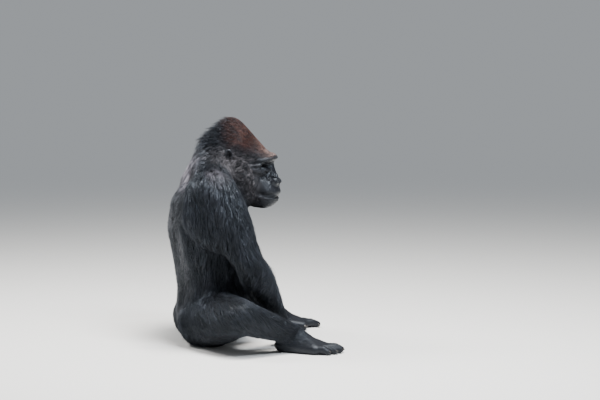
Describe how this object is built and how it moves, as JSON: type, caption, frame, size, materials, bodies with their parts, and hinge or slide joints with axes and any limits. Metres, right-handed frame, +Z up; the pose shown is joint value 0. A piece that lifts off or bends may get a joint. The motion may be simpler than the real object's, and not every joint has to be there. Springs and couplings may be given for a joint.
{
  "type": "sitting silverback gorilla",
  "caption": "Life-size adult male western lowland gorilla sitting upright, knees out, leaning on its knuckles, head turned a little to its right.",
  "frame": {"origin": "middle of the animal's bounding box, on the floor it sits on", "axes": "+Z up, -Y the way the chest faces, -X the animal's right side; knee to knee is the longest way, along X"},
  "size_m": [1.1036, 0.787, 1.0533],
  "materials": {
    "coat": "long straight black hair with a grey saddle and a chestnut crown",
    "skin": "bare black wrinkled skin, a little glossy on the face",
    "eye": "wet dark brown eye",
    "nail": "dark horn, satin"
  },
  "bodies": {
    "root": {"abdomen": "coat", "chest": "coat", "neck": "coat", "head": "coat", "ear_left": "skin", "ear_right": "skin", "eye_left": "eye", "eye_right": "eye", "upper_arm_left": "coat", "upper_arm_right": "coat", "forearm_left": "coat", "forearm_right": "coat", "hand_left": "skin", "hand_right": "skin", "thigh_left": "coat", "thigh_right": "coat", "shank_left": "coat", "shank_right": "coat", "foot_left": "skin", "foot_right": "skin"}
  },
  "joints": []
}
